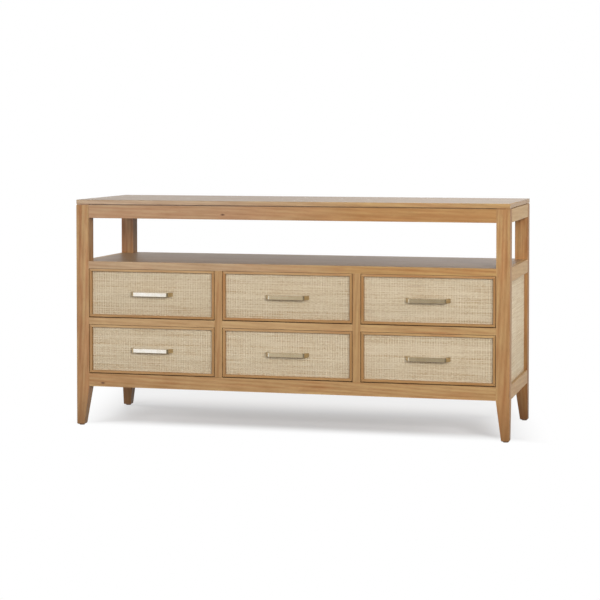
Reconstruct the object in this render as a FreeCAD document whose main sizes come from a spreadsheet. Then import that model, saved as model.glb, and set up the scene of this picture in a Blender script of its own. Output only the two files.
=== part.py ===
import FreeCAD, Part
import os
import re
import Sketcher

# A long dresser: a post-and-rail frame with an open shelf bay above six woven-front drawers.
# Millimetres, +Z up, drawer fronts towards -Y, origin on the floor under the middle of the whole.

# Driving sizes
SIZES = {
    # the whole
    "width": 1500,
    "depth": 500,
    "height": 780,
    # posts and feet
    "post": 45,
    "foot": 27,
    "foot_ease": 2.5,
    "leg_clear": 136,
    "glide_thick": 3,
    "glide_wide": 18,
    # top board
    "top_thick": 18,
    "reveal_high": 3,
    "reveal_post": 2,
    "reveal_rail": 8,
    "top_ease": 2,
    # rails, stiles and their tenons
    "rail_height": 45,
    "rail_thick": 25,
    "shelf_rail": 25,
    "cross_rail": 24,
    "stile": 27,
    "tenon_thick": 9,
    "tenon_gap": 2,
    "stub": 6,
    "stub_shoulder": 5,
    # panels held in grooves and rebates
    "groove": 6,
    "shelf_thick": 16,
    "shelf_lap": 7,
    "panel_inset": 12,
    "weave_thick": 2,
    "backing_thick": 5,
    "back_thick": 6,
    "back_inset": 8,
    "floor_thick": 6,
    "floor_lift": 28,
    # drawer fronts
    "opening_height": 169,
    "gap_side": 2,
    "gap_low": 3,
    "gap_top": 1,
    "bar_wide": 8,
    "weave_recess": 9,
    "front_board": 18,
    # drawer boxes and runners
    "box_clear": 3,
    "box_lift": 14,
    "box_headroom": 25,
    "box_rear_gap": 6,
    "box_side": 15,
    "box_back": 12,
    "box_back_drop": 10,
    "tray_thick": 6,
    "tray_lift": 8,
    "tray_groove": 6,
    "runner_height": 18,
    "runner_bite": 8,
    "runner_tip_gap": 0.5,
    "runner_fit": 0.3,
    "runner_stop_gap": 0.5,
    # pulls
    "pull_bar": 126,
    "pull_splay": 12,
    "pull_reach": 24,
    "pull_thick": 8,
    "pull_foot": 15,
    "pull_height": 14,
    "pull_bend": 7,
    "pull_ease": 0.8,
    "pull_wall": 4,
    # screws
    "bolt_wide": 4,
    "bolt_bite": 7,
    "bolt_head_wide": 8,
    "bolt_head": 2.5,
    "bolt_play": 0.3,
    "screw_wide": 4,
    "screw_head_wide": 8,
    "screw_head": 3,
    "screw_length": 22,
}

# Places worked out from the driving sizes, as formulas
MIDDLE = "((pull_reach - weave_recess) / 2)"
FRONT = f"({MIDDLE} - depth / 2)"
BACK = f"({MIDDLE} + depth / 2)"
FRAME_TOP = "(height - top_thick)"
SPAN_X = "(width - 2 * post)"
SPAN_Y = "(depth - 2 * post)"
RAIL_TOP = "(leg_clear + rail_height)"
CROSS_LOW = f"({RAIL_TOP} + opening_height)"
UPPER_LOW = f"({CROSS_LOW} + cross_rail)"
SHELF_LOW = f"({UPPER_LOW} + opening_height)"
SHELF_TOP = f"({SHELF_LOW} + shelf_rail)"
FLOOR_LOW = "(leg_clear + floor_lift)"
TENON = "(post - (rail_thick + tenon_thick) / 2 - tenon_gap)"
TENON_Y = "((rail_thick - tenon_thick) / 2)"
OPENING = f"(({SPAN_X} - 2 * stile) / 3)"
PITCH = f"({OPENING} + stile)"
FRONT_WIDE = f"({OPENING} - 2 * gap_side)"
FRONT_HIGH = "(opening_height - gap_low - gap_top)"
FRONT_DEEP = "(weave_recess + weave_thick + front_board)"
BOX_HALF = f"({OPENING} / 2 - box_clear)"
BOX_HIGH = "(opening_height - box_lift - box_headroom)"
BOX_DEEP = f"(depth - {FRONT_DEEP} - post - box_rear_gap)"
RUNNER_THICK = "(box_clear + runner_bite - runner_tip_gap)"
RUNNER_FRONT = f"({FRONT} + {FRONT_DEEP} + runner_stop_gap)"
RUNNER_BACK = f"({BACK} - rail_thick)"
RUNNER_LIFT = f"(box_lift + ({BOX_HIGH} - runner_height) / 2)"
PULL_HALF = "(pull_bar / 2 + pull_splay)"
BOLT_X = f"({PULL_HALF} - pull_foot + pull_wall)"

COLUMNS = {"left": f"(-{PITCH})", "middle": "(0)", "right": f"({PITCH})"}
ROWS = {"upper": UPPER_LOW, "lower": RAIL_TOP}
SIDES = {"left": -1, "right": 1}

ALONG_X = FreeCAD.Vector(1, 0, 0)
ALONG_Y = FreeCAD.Vector(0, 1, 0)
ALONG_Z = FreeCAD.Vector(0, 0, 1)

doc = FreeCAD.newDocument("dresser")
nodes = []


# Document helpers

def make_sheet():
    """Put every driving size in the sheet, with its name as alias."""
    sheet = doc.addObject("Spreadsheet::Sheet", "dims")
    for row, (name, value) in enumerate(SIZES.items(), start=1):
        sheet.set(f"A{row}", name)
        sheet.set(f"B{row}", str(value))
        sheet.setAlias(f"B{row}", name)
    doc.recompute()


def formula(text):
    """Point every size name in a formula at its cell."""
    return re.sub(r"[a-z_]+", lambda word: "dims." + word.group(), text)


def bind(thing, **formulas):
    """Bind properties of an object to formulas of the sheet."""
    for name, text in formulas.items():
        thing.setExpression(name, formula(text))


def locate(thing, x, y, z, turn=FreeCAD.Rotation()):
    """Turn an object, and bind its place to formulas of the sheet."""
    thing.Placement = FreeCAD.Placement(FreeCAD.Vector(), turn)
    for axis, text in zip("xyz", (x, y, z)):
        thing.setExpression("Placement.Base." + axis, formula(text))


def add(kind, label):
    """A new document object with its label."""
    thing = doc.addObject(kind, label)
    thing.Label = label
    return thing


def block(label, start, size):
    """A board, from its lowest corner and its three sizes."""
    board = add("Part::Box", label)
    bind(board, Length=size[0], Width=size[1], Height=size[2])
    locate(board, *start)
    return board


def rod(label, start, wide, length, turn=FreeCAD.Rotation()):
    """A round rod that runs along its own turned Z."""
    bar = add("Part::Cylinder", label)
    bind(bar, Radius=f"({wide}) / 2", Height=length)
    locate(bar, *start, turn)
    return bar


def fuse(label, pieces):
    """One solid from several that meet."""
    whole = add("Part::MultiFuse", label)
    whole.Shapes = pieces
    return whole


def cut(label, base, tool):
    """A piece with another one's shape taken out of it."""
    rest = add("Part::Cut", label)
    rest.Base = base
    rest.Tool = tool
    return rest


def group(label, pieces):
    """Several separate solids under one name."""
    whole = add("Part::Compound", label)
    whole.Links = pieces
    return whole


def keep(thing):
    """Mark an object as a sub-part that gets a file of its own."""
    nodes.append(thing)
    return thing


# Body helpers

def outline(body, name, role, *loops):
    """A sketch on one of the body's own planes, each loop a list of corner formulas."""
    sketch = body.newObject("Sketcher::SketchObject", name)
    plane = next(item for item in body.Origin.OriginFeatures if item.Role == role)
    sketch.AttachmentSupport = [(plane, "")]
    sketch.MapMode = "FlatFace"
    for loop in loops:
        add_loop(sketch, loop)
    doc.recompute()
    return sketch


def add_loop(sketch, corners):
    """A closed ring of lines whose corners are bound to formulas."""
    first = sketch.GeometryCount
    count = len(corners)
    for step in range(count):
        start = FreeCAD.Vector(step, step * step, 0)
        end = FreeCAD.Vector(step + 1, (step + 1) ** 2, 0)
        sketch.addGeometry(Part.LineSegment(start, end), False)
    for step in range(count):
        following = first + (step + 1) % count
        sketch.addConstraint(Sketcher.Constraint("Coincident", first + step, 2, following, 1))
    for step, corner in enumerate(corners):
        for kind, text in zip(("DistanceX", "DistanceY"), corner):
            name = f"{kind}{first + step}"
            index = sketch.addConstraint(Sketcher.Constraint(kind, -1, 1, first + step, 1, 1.0))
            sketch.renameConstraint(index, name)
            sketch.setExpression("Constraints." + name, formula(text))


def rectangle(left, low, right, high):
    """The four corners of a rectangle."""
    return [(left, low), (right, low), (right, high), (left, high)]


def pad(body, name, profile, length, midplane=False):
    """Raise a sketch into a solid."""
    feature = body.newObject("PartDesign::Pad", name)
    feature.Profile = profile
    feature.Midplane = midplane
    bind(feature, Length=length)
    doc.recompute()
    return feature


def ease(body, kind, name, feature, size, wanted):
    """Round or chamfer the edges of a feature that pass a test."""
    edges = [f"Edge{i}" for i, edge in enumerate(feature.Shape.Edges, start=1) if wanted(edge)]
    easing = body.newObject(kind, name)
    easing.Base = (feature, edges)
    bind(easing, **size)
    doc.recompute()
    return easing


def lies_at(edge, height):
    """Whether an edge lies flat at one height of its body."""
    box = edge.BoundBox
    return abs(box.ZMin - height) < 0.01 and abs(box.ZMax - height) < 0.01


# Frame: posts, rails, stiles and top

def make_post_blank(label, x, y, turn):
    """A square post whose two inner faces taper below the bottom rails."""
    body = add("PartDesign::Body", label)
    section = outline(body, label + "_section", "XY_Plane", rectangle("0", "0", "post", "post"))
    feature = pad(body, label + "_shaft", section, f"{FRAME_TOP} - glide_thick")
    for role in ("XZ_Plane", "YZ_Plane"):
        corners = [("foot", "0"), ("post", "0"), ("post", "leg_clear - glide_thick")]
        profile = outline(body, label + "_taper_" + role[:2], role, corners)
        feature = body.newObject("PartDesign::Pocket", label + "_cut_" + role[:2])
        feature.Profile = profile
        feature.Type = "ThroughAll"
        feature.Midplane = True
        doc.recompute()
    ease(body, "PartDesign::Chamfer", label + "_foot_ease", feature, {"Size": "foot_ease"},
         lambda edge: lies_at(edge, 0))
    locate(body, x, y, "glide_thick", FreeCAD.Rotation(ALONG_Z, turn))
    return body


def make_post_blanks():
    """The four posts, turned so that the tapers face inwards."""
    places = {
        "post_front_left": ("-width / 2", FRONT, 0),
        "post_front_right": ("width / 2", FRONT, 90),
        "post_back_right": ("width / 2", BACK, 180),
        "post_back_left": ("-width / 2", BACK, 270),
    }
    return {name: make_post_blank(name + "_blank", *place) for name, place in places.items()}


def make_post_envelope():
    """The square columns that boards are notched around."""
    columns = []
    for side in ("-width / 2", "width / 2 - post"):
        for row in (FRONT, f"{BACK} - post"):
            start = (side, row, "0")
            columns.append(block(f"column_{len(columns)}", start, ("post", "post", FRAME_TOP)))
    return group("columns", columns)


def make_rail_blank(label, start, size, axis, tenon):
    """A rail with its tenons, and the tenon bar that cuts the mortises."""
    rail = block(label + "_board", start, size)
    tenon_start = list(start)
    tenon_size = list(size)
    across = 1 - axis
    tenon_start[axis] = f"{start[axis]} - {tenon}"
    tenon_size[axis] = f"{size[axis]} + 2 * {tenon}"
    tenon_start[across] = f"{start[across]} + {TENON_Y}"
    tenon_size[across] = "tenon_thick"
    tenon_start[2] = f"{start[2]} + groove + tenon_gap"
    tenon_size[2] = f"{size[2]} - 2 * (groove + tenon_gap)"
    bar = block(label + "_tenons", tenon_start, tenon_size)
    return fuse(label + "_blank", [rail, bar]), bar


def make_rail_blanks():
    """The twelve rails of the frame, three heights on four sides."""
    under_top = f"{FRAME_TOP} - rail_height"
    levels = {
        "top": (under_top, "rail_height", under_top),
        "shelf": (SHELF_LOW, "shelf_rail", f"{SHELF_TOP} - rail_height"),
        "bottom": ("leg_clear", "rail_height", "leg_clear"),
    }
    blanks = {}
    for level, (long_low, long_high, short_low) in levels.items():
        for side, y in (("front", FRONT), ("back", f"{BACK} - rail_thick")):
            start = (f"-{SPAN_X} / 2", y, long_low)
            size = (SPAN_X, "rail_thick", long_high)
            label = f"{level}_rail_{side}"
            blanks[label] = make_rail_blank(label, start, size, 0, TENON)
        for side, x in (("left", "-width / 2"), ("right", "width / 2 - rail_thick")):
            start = (x, f"{FRONT} + post", short_low)
            size = ("rail_thick", SPAN_Y, "rail_height")
            label = f"{level}_rail_{side}"
            blanks[label] = make_rail_blank(label, start, size, 1, TENON)
    return blanks


def make_cross_rail_blanks():
    """Three short rails between the drawer rows, with stub tenons."""
    blanks = []
    for column, x in COLUMNS.items():
        start = (f"{x} - {OPENING} / 2", FRONT, CROSS_LOW)
        size = (OPENING, "rail_thick", "cross_rail")
        blanks.append(make_rail_blank(f"cross_rail_{column}", start, size, 0, "stub"))
    return blanks


def make_stile_blank(side):
    """An upright between two drawer columns, with stub tenons, and the bar that cuts their mortises."""
    left = f"{SIDES[side]} * {PITCH} / 2 - stile / 2"
    board = block(f"stile_{side}_board", (left, FRONT, RAIL_TOP),
                  ("stile", "rail_thick", f"{SHELF_LOW} - {RAIL_TOP}"))
    bar = block(f"stile_{side}_tenons",
                (f"{left} + stub_shoulder", f"{FRONT} + {TENON_Y}", f"{RAIL_TOP} - stub"),
                ("stile - 2 * stub_shoulder", "tenon_thick", f"{SHELF_LOW} - {RAIL_TOP} + 2 * stub"))
    return fuse(f"stile_{side}_blank", [board, bar]), bar


def reveal_line():
    """The line that the shadow groove is cut back to: shallow over the posts, deeper over the rails."""
    run = [("width / 2 - reveal_rail", "depth / 2 - post"),
           ("width / 2 - reveal_post", "depth / 2 - post"),
           ("width / 2 - reveal_post", "depth / 2 - reveal_post"),
           ("width / 2 - post", "depth / 2 - reveal_post"),
           ("width / 2 - post", "depth / 2 - reveal_rail")]
    back = run[::-1]
    corners = []
    for sign_x, sign_y, steps in (("-", "-", run), ("", "-", back), ("", "", run), ("-", "", back)):
        corners += [(f"{sign_x}({x})", f"{sign_y}({y})") for x, y in steps]
    return corners


def make_top():
    """The top board, with a shadow line under its edge and eased upper edges."""
    body = add("PartDesign::Body", "top_board")
    board = outline(body, "top_outline", "XY_Plane",
                    rectangle("-width / 2", "-depth / 2", "width / 2", "depth / 2"))
    feature = pad(body, "top_slab", board, "top_thick")
    ring = outline(body, "top_reveal_outline", "XY_Plane",
                   rectangle("-width / 2", "-depth / 2", "width / 2", "depth / 2"), reveal_line())
    feature = body.newObject("PartDesign::Pocket", "top_reveal_cut")
    feature.Profile = ring
    feature.Reversed = True
    bind(feature, Length="reveal_high")
    doc.recompute()
    top = feature.Shape.BoundBox.ZMax
    ease(body, "PartDesign::Fillet", "top_edges", feature, {"Radius": "top_ease"},
         lambda edge: lies_at(edge, top))
    locate(body, "0", MIDDLE, FRAME_TOP)
    keep(body)


# Panels, partitions and feet

def make_notched_board(label, lap, low, thick, columns):
    """A level board between the rails, notched around the four posts."""
    inset = f"(rail_thick - {lap})"
    board = block(label + "_sheet", (f"{inset} - width / 2", f"{FRONT} + {inset}", low),
                  (f"width - 2 * {inset}", f"depth - 2 * {inset}", thick))
    return keep(cut(label, board, columns))


def make_side_panel(side):
    """The woven panel of one side, and the board behind it, both in grooves."""
    low = f"{RAIL_TOP} - groove"
    high = f"{SHELF_TOP} - rail_height + groove"
    face = {"left": "panel_inset - width / 2", "right": "width / 2 - panel_inset - weave_thick"}[side]
    behind = {"left": f"{face} + weave_thick", "right": f"{face} - backing_thick"}[side]
    pieces = []
    for label, x, thick in ((f"side_weave_{side}", face, "weave_thick"),
                            (f"side_backing_{side}", behind, "backing_thick")):
        pieces.append(block(label, (x, f"{FRONT} + post - groove", low),
                            (thick, f"{SPAN_Y} + 2 * groove", f"{high} - ({low})")))
    return pieces


def make_back_panel():
    """The panel behind the drawers, held in grooves of the back posts and rails."""
    start = (f"-{SPAN_X} / 2 - groove", f"{BACK} - back_inset - back_thick", f"{RAIL_TOP} - groove")
    size = (f"{SPAN_X} + 2 * groove", "back_thick", f"{SHELF_LOW} - {RAIL_TOP} + 2 * groove")
    return keep(block("back_panel", start, size))


def make_partitions(screws):
    """A board behind each stile, as thick as the stile, which carries runners on both faces."""
    low = f"({FLOOR_LOW} + floor_thick)"
    boards = []
    for side, sign in SIDES.items():
        start = (f"{sign} * {PITCH} / 2 - stile / 2", f"{FRONT} + rail_thick", low)
        size = ("stile", "depth - 2 * rail_thick", f"{SHELF_TOP} - shelf_thick - {low}")
        board = block(f"partition_{side}_board", start, size)
        boards.append(cut(f"partition_{side}", board, screws))
    keep(group("partitions", boards))


def make_glides():
    """A round glide under each foot."""
    discs = []
    for x in ("foot / 2 - width / 2", "width / 2 - foot / 2"):
        for y in (f"{FRONT} + foot / 2", f"{BACK} - foot / 2"):
            discs.append(rod(f"foot_glide_{len(discs)}", (x, y, "0"), "glide_wide", "glide_thick"))
    keep(group("foot_glides", discs))


# Runners and their screws

def runner_places():
    """Name, opening edge, side and lower edge of each runner."""
    for row, low in ROWS.items():
        for column, x in COLUMNS.items():
            for side, sign in SIDES.items():
                edge = f"({x} + {sign} * {OPENING} / 2)"
                yield f"{row}_{column}_{side}", edge, side, f"({low} + {RUNNER_LIFT})"


def make_runner_screws():
    """Two countersunk screws for each runner, heads flush with the face that the drawer hides."""
    screws = []
    turns = {"left": FreeCAD.Rotation(ALONG_Y, -90), "right": FreeCAD.Rotation(ALONG_Y, 90)}
    for name, edge, side, low in runner_places():
        face = f"{edge} - {SIDES[side]} * {RUNNER_THICK}"
        for end, y in (("front", f"({RUNNER_FRONT} + {FRONT} + post) / 2"),
                       ("back", f"{BACK} - (post + rail_thick) / 2")):
            label = f"runner_screw_{name}_{end}"
            place = (face, y, f"{low} + runner_height / 2")
            shank = rod(label + "_shank", place, "screw_wide", "screw_length", turns[side])
            head = add("Part::Cone", label + "_head")
            bind(head, Radius1="screw_head_wide / 2", Radius2="screw_wide / 2", Height="screw_head")
            locate(head, *place, turns[side])
            screws.append(fuse(label, [shank, head]))
    return keep(group("runner_screws", screws))


def make_runners(screws):
    """Battens that the grooves of the drawer sides slide on."""
    battens = []
    for name, edge, side, low in runner_places():
        left = {"left": edge, "right": f"{edge} - {RUNNER_THICK}"}[side]
        batten = block(f"runner_{name}_batten", (left, RUNNER_FRONT, low),
                       (RUNNER_THICK, f"{RUNNER_BACK} - {RUNNER_FRONT}", "runner_height"))
        battens.append(cut(f"runner_{name}", batten, screws))
    keep(group("runners", battens))


# Drawers

def make_front_frame(name, x, low):
    """Four mitred bars around the woven panel."""
    left = f"{x} - {FRONT_WIDE} / 2"
    right = f"{x} + {FRONT_WIDE} / 2"
    base = f"{low} + gap_low"
    top = f"{low} + gap_low + {FRONT_HIGH}"
    places = {
        "low": (0, left, base, FRONT_WIDE),
        "top": (180, right, top, FRONT_WIDE),
        "left": (90, left, top, FRONT_HIGH),
        "right": (270, right, base, FRONT_HIGH),
    }
    bars = []
    for edge, (turn, bar_x, bar_z, length) in places.items():
        bar = add("Part::Wedge", f"{name}_bar_{edge}")
        bind(bar, Xmin="0", Xmax=length, X2min="bar_wide", X2max=f"{length} - bar_wide",
             Ymin="0", Ymax="bar_wide", Zmin="0", Zmax=FRONT_DEEP, Z2min="0", Z2max=FRONT_DEEP)
        upright = FreeCAD.Rotation(ALONG_Y, turn).multiply(FreeCAD.Rotation(ALONG_X, 90))
        locate(bar, bar_x, f"{FRONT} + {FRONT_DEEP}", bar_z, upright)
        bars.append(bar)
    keep(group(f"{name}_frame", bars))


def make_bolts(name, x, low):
    """The two bolts of a pull with their heads inside the drawer, and the rods that drill their holes."""
    turn = FreeCAD.Rotation(ALONG_X, 90)
    through = "front_board + weave_thick"
    bolts = []
    drills = []
    for side, sign in SIDES.items():
        place = (f"{x} + {sign} * {BOLT_X}", f"{FRONT} + {FRONT_DEEP}", f"{low} + opening_height / 2")
        head_place = (place[0], f"{place[1]} + bolt_head", place[2])
        label = f"{name}_bolt_{side}"
        shank = rod(label + "_shank", place, "bolt_wide", f"{through} + bolt_bite", turn)
        head = rod(label + "_head", head_place, "bolt_head_wide", "bolt_head", turn)
        bolts.append(fuse(label, [shank, head]))
        drills.append(rod(label + "_drill", place, "bolt_wide + 2 * bolt_play", through, turn))
    return bolts, group(f"{name}_drills", drills)


def make_pull(name, x, low, bolts):
    """A bow pull with a flat front bar and splayed ends, tapped for its bolts."""
    inner = f"{PULL_HALF} - pull_foot"
    bend = f"{inner} - pull_splay * (pull_reach - pull_thick) / pull_reach"
    half = [(PULL_HALF, "0"), (inner, "0"), (bend, "pull_thick - pull_reach")]
    front = [("-pull_bar / 2", "-pull_reach"), ("pull_bar / 2", "-pull_reach")]
    mirrored = [(f"-({along})", out) for along, out in reversed(half)]
    body = add("PartDesign::Body", f"{name}_bow")
    profile = outline(body, f"{name}_bow_outline", "XY_Plane", front + half + mirrored)
    bow = pad(body, f"{name}_bow_pad", profile, "pull_height", midplane=True)
    front_y = bow.Shape.BoundBox.YMin
    bent = ease(body, "PartDesign::Fillet", f"{name}_bow_bends", bow, {"Radius": "pull_bend"},
                lambda edge: edge.BoundBox.YMax < front_y + 0.01 and edge.BoundBox.XLength < 0.01)
    ease(body, "PartDesign::Fillet", f"{name}_bow_edges", bent, {"Radius": "pull_ease"},
         lambda edge: edge.BoundBox.YMin < -0.01 and edge.BoundBox.ZLength < 0.01)
    locate(body, x, f"{FRONT} + weave_recess", f"{low} + opening_height / 2")
    tapped = cut(f"{name}_bow_tapped", body, group(f"{name}_bolts", bolts))
    keep(group(f"{name}_pull", [tapped] + bolts))


def make_box(name, x, low, drills):
    """Front board, two grooved sides and back of a drawer, and the tray that its grooves hold."""
    rear = f"({FRONT} + {FRONT_DEEP} + {BOX_DEEP})"
    start_y = f"({FRONT} + {FRONT_DEEP})"
    start_z = f"({low} + box_lift)"
    inner_half = f"({BOX_HALF} - box_side)"
    tray = keep(block(
        f"{name}_bottom",
        (f"{x} - {inner_half} - tray_groove", f"{start_y} - tray_groove", f"{start_z} + tray_lift"),
        (f"2 * ({inner_half} + tray_groove)", f"{BOX_DEEP} - box_back + 2 * tray_groove", "tray_thick")))
    panel_x = f"{x} - {FRONT_WIDE} / 2 + bar_wide"
    panel_z = f"{low} + gap_low + bar_wide"
    panel_wide = f"{FRONT_WIDE} - 2 * bar_wide"
    panel_high = f"{FRONT_HIGH} - 2 * bar_wide"
    sheet = block(f"{name}_weave_sheet", (panel_x, f"{FRONT} + weave_recess", panel_z),
                  (panel_wide, "weave_thick", panel_high))
    keep(cut(f"{name}_weave", sheet, drills))
    board = block(f"{name}_front_sheet", (panel_x, f"{start_y} - front_board", panel_z),
                  (panel_wide, "front_board", panel_high))
    drilled = cut(f"{name}_front_drilled", board, drills)
    back = block(f"{name}_back_sheet", (f"{x} - {inner_half}", f"{rear} - box_back", start_z),
                 (f"2 * {inner_half}", "box_back", f"{BOX_HIGH} - box_back_drop"))
    boards = [cut(f"{name}_front_board", drilled, tray), cut(f"{name}_back", back, tray)]
    for side, sign in SIDES.items():
        boards.append(make_box_side(f"{name}_side_{side}", f"({x} + {sign} * {BOX_HALF})", side, low, tray))
    keep(group(f"{name}_box", boards))


def make_box_side(label, face, side, low, tray):
    """One side of a drawer, with a groove for the runner outside and one for the tray inside."""
    start_y = f"({FRONT} + {FRONT_DEEP})"
    left = {"left": face, "right": f"{face} - box_side"}[side]
    board = block(label + "_board", (left, start_y, f"{low} + box_lift"), ("box_side", BOX_DEEP, BOX_HIGH))
    slot_left = {"left": face, "right": f"{face} - runner_bite"}[side]
    slot = block(label + "_slot", (slot_left, start_y, f"{low} + {RUNNER_LIFT} - runner_fit"),
                 ("runner_bite", BOX_DEEP, "runner_height + 2 * runner_fit"))
    return cut(label, cut(label + "_slotted", board, slot), tray)


def make_drawer(name, x, low):
    """All pieces of one drawer."""
    bolts, drills = make_bolts(name, x, low)
    make_front_frame(name, x, low)
    make_box(name, x, low, drills)
    make_pull(name, x, low, bolts)


# The whole

def make_frame():
    """Posts, rails, stiles and panels, each cut by what it holds."""
    screws = make_runner_screws()
    columns = make_post_envelope()
    shelf_low = f"{SHELF_TOP} - shelf_thick"
    shelf = make_notched_board("shelf_board", "shelf_lap", shelf_low, "shelf_thick", columns)
    floor = make_notched_board("bottom_panel", "groove", FLOOR_LOW, "floor_thick", columns)
    back = make_back_panel()
    weaves = []
    backings = []
    for side in SIDES:
        weave, backing = make_side_panel(side)
        weaves.append(keep(weave))
        backings.append(backing)
    keep(group("side_backings", backings))
    woven = group("woven_panels", weaves)
    rails = make_rail_blanks()
    cross = make_cross_rail_blanks()
    stiles = {side: make_stile_blank(side) for side in SIDES}
    cross_bars = [bar for _, bar in cross]
    stile_bars = [bar for _, bar in stiles.values()]
    rail_bars = [bar for _, bar in rails.values()]
    rail_slots = group("rail_slots", [shelf, floor, back] + backings + stile_bars)
    post_slots = group("post_slots", [back, screws] + backings + rail_bars + cross_bars)
    for label, (blank, _) in rails.items():
        keep(cut(label, cut(label + "_slotted", blank, rail_slots), woven))
    for label, blank in make_post_blanks().items():
        keep(cut(label, cut(label + "_slotted", blank, post_slots), woven))
    for side, (blank, _) in stiles.items():
        keep(cut(f"stile_{side}", blank, group(f"stile_{side}_slots", cross_bars)))
    keep(group("cross_rails", [blank for blank, _ in cross]))
    make_partitions(screws)
    make_runners(screws)
    make_glides()


def write_nodes():
    """Check every object and sub-part, and write one file per sub-part."""
    doc.recompute()
    for thing in doc.Objects:
        if "Invalid" in thing.State or "Error" in thing.State:
            raise RuntimeError(f"{thing.Label} did not recompute: {thing.State}")
    os.makedirs("parts", exist_ok=True)
    for thing in nodes:
        if thing.Shape.isNull() or not thing.Shape.isValid():
            raise RuntimeError(f"{thing.Label} has no valid shape")
        thing.Shape.exportStep(f"parts/{thing.Label}.step")


make_sheet()
make_frame()
make_top()
for row, low in ROWS.items():
    for column, x in COLUMNS.items():
        make_drawer(f"{row}_{column}", x, low)
write_nodes()
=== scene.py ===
import math
import random

import bmesh
import bpy
from mathutils import Matrix, Vector


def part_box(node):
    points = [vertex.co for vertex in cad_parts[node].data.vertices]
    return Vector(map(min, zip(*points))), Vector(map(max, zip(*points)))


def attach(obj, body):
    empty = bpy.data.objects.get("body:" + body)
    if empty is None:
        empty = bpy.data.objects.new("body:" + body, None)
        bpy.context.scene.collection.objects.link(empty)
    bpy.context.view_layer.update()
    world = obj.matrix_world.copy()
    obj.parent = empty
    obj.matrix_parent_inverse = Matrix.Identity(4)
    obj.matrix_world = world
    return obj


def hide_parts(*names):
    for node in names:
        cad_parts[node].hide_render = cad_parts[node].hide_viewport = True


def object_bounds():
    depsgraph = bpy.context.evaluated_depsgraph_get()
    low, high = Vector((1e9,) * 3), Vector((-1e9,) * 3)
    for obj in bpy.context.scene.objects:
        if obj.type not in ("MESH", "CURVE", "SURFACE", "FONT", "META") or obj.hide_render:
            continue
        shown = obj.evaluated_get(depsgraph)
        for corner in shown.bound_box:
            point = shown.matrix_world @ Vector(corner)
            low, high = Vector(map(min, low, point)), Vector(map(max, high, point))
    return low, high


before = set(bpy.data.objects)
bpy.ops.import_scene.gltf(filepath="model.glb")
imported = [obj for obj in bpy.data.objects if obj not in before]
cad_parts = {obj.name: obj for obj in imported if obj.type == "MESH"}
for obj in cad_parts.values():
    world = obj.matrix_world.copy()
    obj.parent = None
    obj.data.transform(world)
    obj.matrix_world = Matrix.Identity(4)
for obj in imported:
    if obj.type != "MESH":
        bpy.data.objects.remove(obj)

cad_low, cad_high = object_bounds()

# Looks of a long dresser: oiled oak frame, woven cane fronts and sides, brass bow pulls.
# Metres, +Z up, drawer fronts towards -Y.

MM = 0.001
HALF_TURN = math.pi
QUARTER_TURN = math.pi / 2

# Drawers, and the boards that share a finish
DRAWERS = [f"{row}_{column}" for row in ("upper", "lower") for column in ("left", "middle", "right")]
POSTS = ["post_front_left", "post_front_right", "post_back_left", "post_back_right"]
# The back right post gets painted shade, darker towards its foot
SHADED_POST = "post_back_right"
STILES = ["stile_left", "stile_right"]
BOARDS_LONG = ["shelf_rail_back", "top_rail_back", "bottom_rail_front", "bottom_rail_back"]
BOARDS_DEEP = [f"{level}_rail_{side}" for level in ("top", "shelf", "bottom") for side in ("left", "right")]
PLYWOOD_PANELS = ["side_backings", "back_panel", "bottom_panel", "partitions"]

# Eased edges
BOARD_EASE = 1.0 * MM
BAR_EASE = 0.8 * MM
BOX_EASE = 1.5 * MM
EASE_STEPS = 2
SHORTEST_EASED = 12 * MM
SHARP = math.radians(30)
FLAT = math.radians(0.1)
MERGE = 0.001 * MM

# Board numbers, drawn between two limits: they move the grain, and a high one makes the oak redder
BOARD_SEED = 10
RED_BOARD = (0.6, 0.95)
PLAIN_BOARD = (0.0, 0.5)
BOX_BOARD = (0.2, 0.6)
PLYWOOD_BOARD = 0.81

# How far the grain moves for a board number of 1, and how far it wanders along a board
BOARD_SHIFT = (9.7, 4.3, 6.1)
GRAIN_WANDER = 16 * MM

# Heights that the colours follow
LEG_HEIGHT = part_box("bottom_rail_front")[0].z
SHELF_HEIGHT = sum(corner.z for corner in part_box("shelf_board")) / 2

# Shadow groove under the top, and the band where it gets painted shade
GROOVE_TALL = 3 * MM
GROOVE_SLACK = 0.1 * MM
GROOVE_FADE = 0.2 * MM
GROOVE_INSET = 15 * MM
GROOVE_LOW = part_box("top_board")[0].z - GROOVE_SLACK
GROOVE_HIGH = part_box("top_board")[0].z + GROOVE_TALL + GROOVE_SLACK
GROOVE_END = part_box("top_board")[1].x - GROOVE_INSET

# Knots: the rail, the place along it, and the height above its lower edge
KNOTS = [("top_rail_front", -223.4 * MM, 16.5 * MM), ("bottom_rail_front", -655.0 * MM, 12.6 * MM)]
KNOT_WIDE = 9 * MM
KNOT_WIDTH_TO_LENGTH = 0.45

# Drawer front bars and box boards
BAR_WIDE = 8 * MM
LOWER_BAR, SIDE_BAR, UPPER_BAR = range(3)
BOX_SIDE = 15 * MM
BOX_FRONT = 18 * MM
BOX_TOP_BAND = 30 * MM
BOX_ACROSS, BOX_DEEP = range(2)

# Cane weave, with the mean and the spread of the strands' tones
STAKE_PITCH = 8.6 * MM
STAKE_WIDE = 2.8 * MM
STAKE_THICK = 0.8 * MM
STAKE_TONE = (0.6, 0.12)
WEFT_PITCH = 3.0 * MM
WEFT_THICK = 0.9 * MM
WEFT_SWING = 0.5 * MM
WEFT_TONE = (0.5, 0.12)
STRAND_CROWN = 0.6
STEPS_PER_STAKE = 4

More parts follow.
